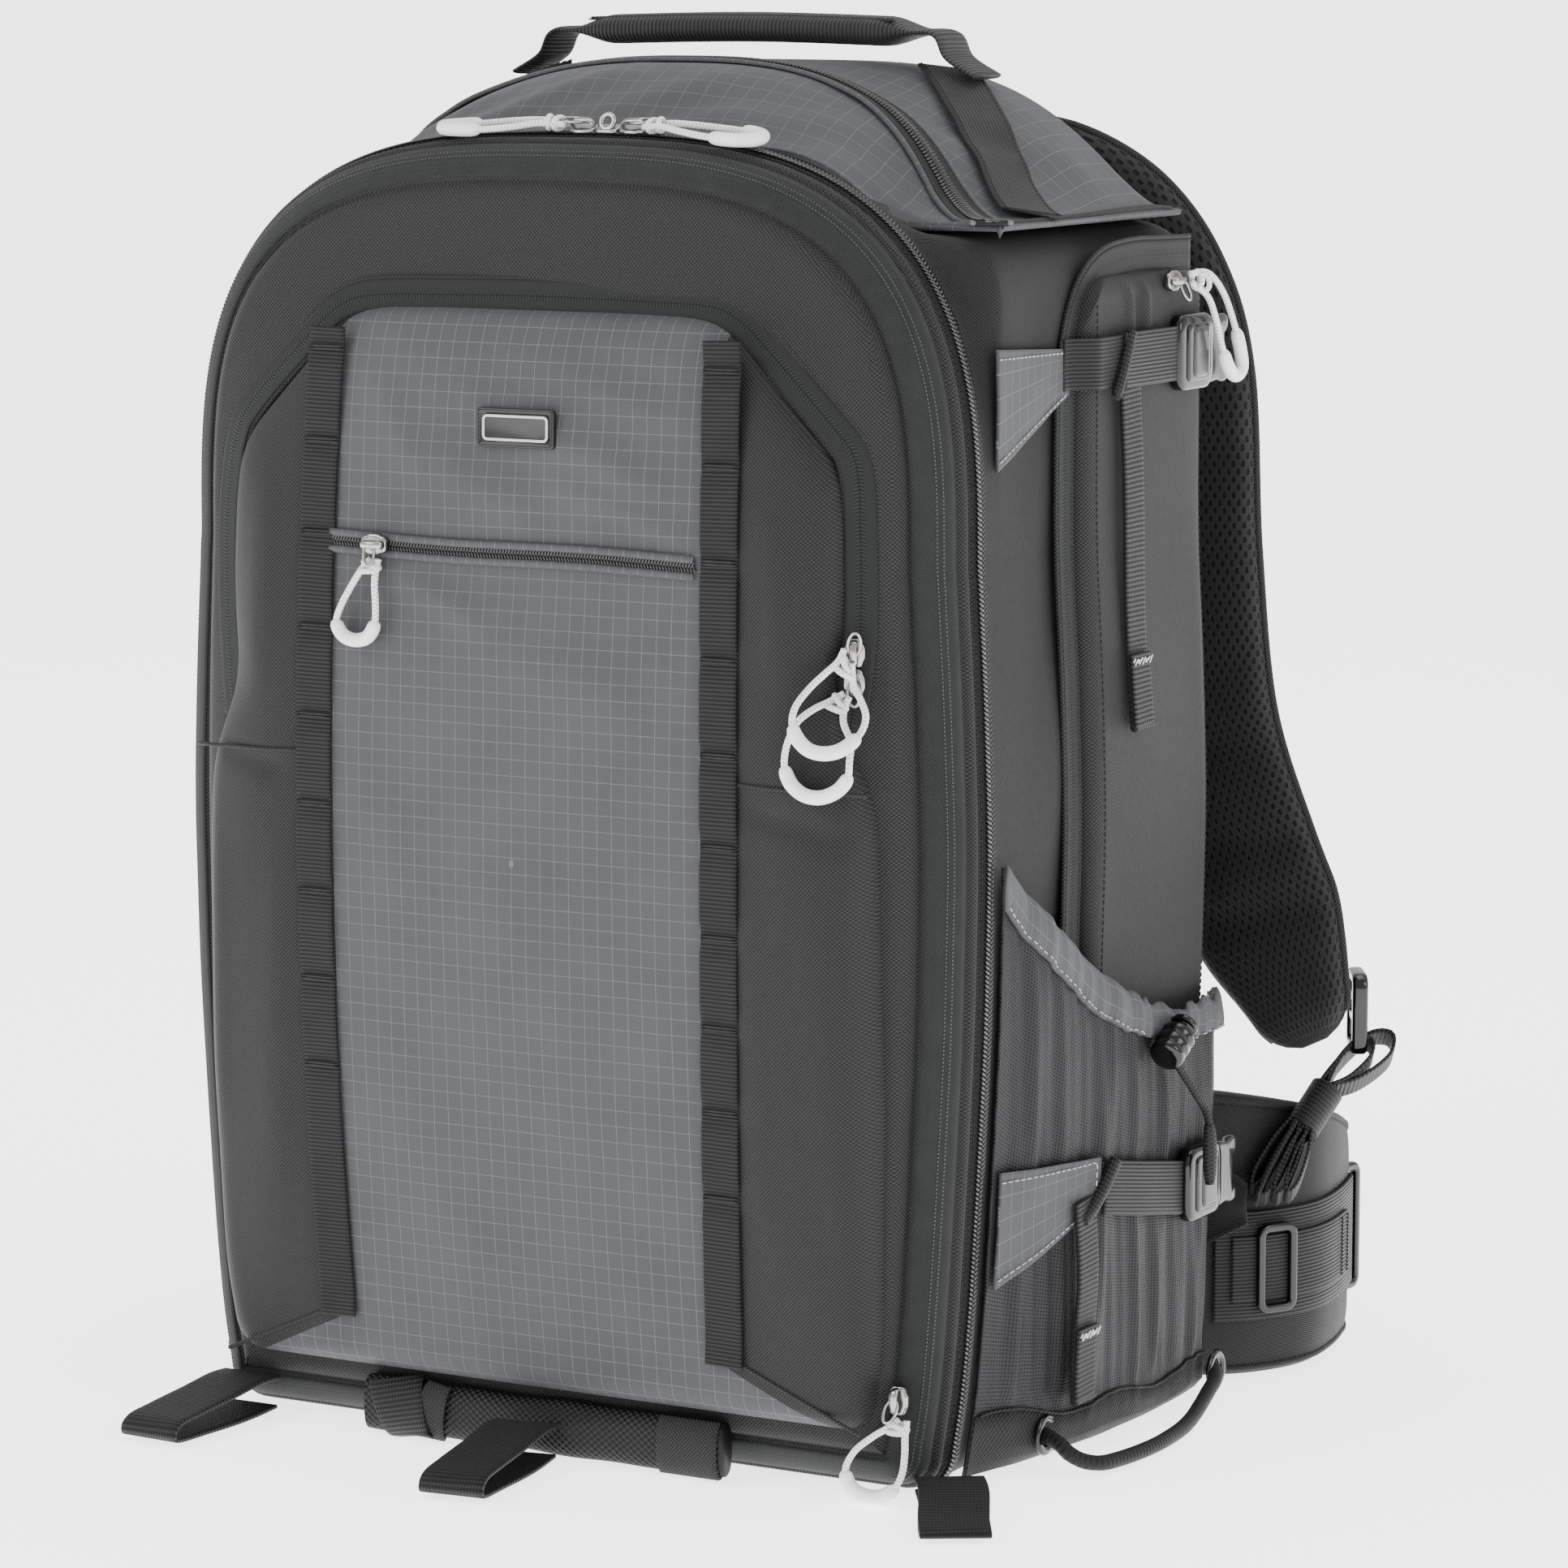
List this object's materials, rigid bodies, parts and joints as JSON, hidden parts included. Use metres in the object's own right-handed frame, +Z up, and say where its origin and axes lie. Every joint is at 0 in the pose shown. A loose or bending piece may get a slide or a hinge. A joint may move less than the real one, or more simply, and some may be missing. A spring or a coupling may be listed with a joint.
{
  "type": "camera backpack",
  "caption": "Padded camera backpack with clamshell zip front, raised front pocket, domed top pocket, mesh bottle pockets, carry handle, shoulder straps and hip belt",
  "frame": {"origin": "middle of the base where the pack stands on the floor", "axes": "+Z up, the zipped front faces -Y, the shoulder straps and the wearer are at +Y, +X is the side with the buckled straps"},
  "size_m": [0.4448, 0.4764, 0.5487],
  "materials": {
    "cloth_black": "black ballistic nylon",
    "ripstop_grey": "grey ripstop nylon with a fine light grid",
    "mesh_black": "fine black stretch mesh",
    "webbing_black": "black ribbed webbing",
    "air_mesh": "black padded mesh with oval holes",
    "plastic_black": "moulded glossy black",
    "nickel": "satin nickel plate",
    "cord_white": "white braided cord with a smooth moulded grip",
    "cord_black": "black braided cord",
    "rubber_black": "smooth black rubber, blank",
    "zip_black": "black coil on dark tape"
  },
  "bodies": {
    "bag": {"bag_shell": "cloth_black", "main_zip": "zip_black", "front_flap": "cloth_black", "front_pocket": "ripstop_grey", "daisy_chain_right": "webbing_black", "daisy_chain_left": "webbing_black", "label_patch": "rubber_black", "tripod_pouch": "mesh_black", "top_pocket": "ripstop_grey", "carry_handle": "webbing_black", "yoke_strap_right": "webbing_black", "yoke_strap_left": "webbing_black", "side_pocket_right": "cloth_black", "side_pocket_left": "cloth_black", "bottle_pocket_right": "mesh_black", "bottle_pocket_left": "mesh_black", "upper_strap_right": "webbing_black", "upper_strap_left": "webbing_black", "lower_strap_right": "webbing_black", "lower_strap_left": "webbing_black", "upper_strap_tail": "webbing_black", "lower_strap_tail": "webbing_black", "upper_patch": "ripstop_grey", "lower_patch": "ripstop_grey", "upper_buckle": "plastic_black", "lower_buckle": "plastic_black", "cord_lock": "plastic_black", "hem_cord": "cord_black", "back_panel": "air_mesh", "shoulder_strap_right": "air_mesh", "shoulder_strap_left": "air_mesh", "ladder_lock_right": "plastic_black", "ladder_lock_left": "plastic_black", "strap_wing_right": "cloth_black", "strap_wing_left": "cloth_black", "adjuster_strap_right": "webbing_black", "adjuster_strap_left": "webbing_black", "hip_pad_right": "cloth_black", "hip_pad_left": "cloth_black", "waist_webbing": "webbing_black", "waist_buckle": "plastic_black", "loop_centre": "webbing_black", "loop_right": "webbing_black", "loop_left": "webbing_black", "bungee_right": "cord_black", "bungee_left": "cord_black", "main_sliders": "nickel", "front_sliders": "nickel", "pocket_slider": "nickel", "base_slider": "nickel", "side_slider": "nickel", "pull_main_left": "cord_white", "pull_main_right": "cord_white", "pull_pocket_upper": "cord_white", "pull_pocket_lower": "cord_white", "pull_front_pocket": "cord_white", "pull_base": "cord_white", "pull_side": "cord_white"},
    "button": {"cord_lock_button": "plastic_black"}
  },
  "joints": [
    {"name": "cord_lock_press", "type": "slide", "parent": "bag", "child": "button", "axis": [0, -0.866, -0.5], "range_m": [0, 0.003], "stiffness_N_per_m": 800}
  ]
}
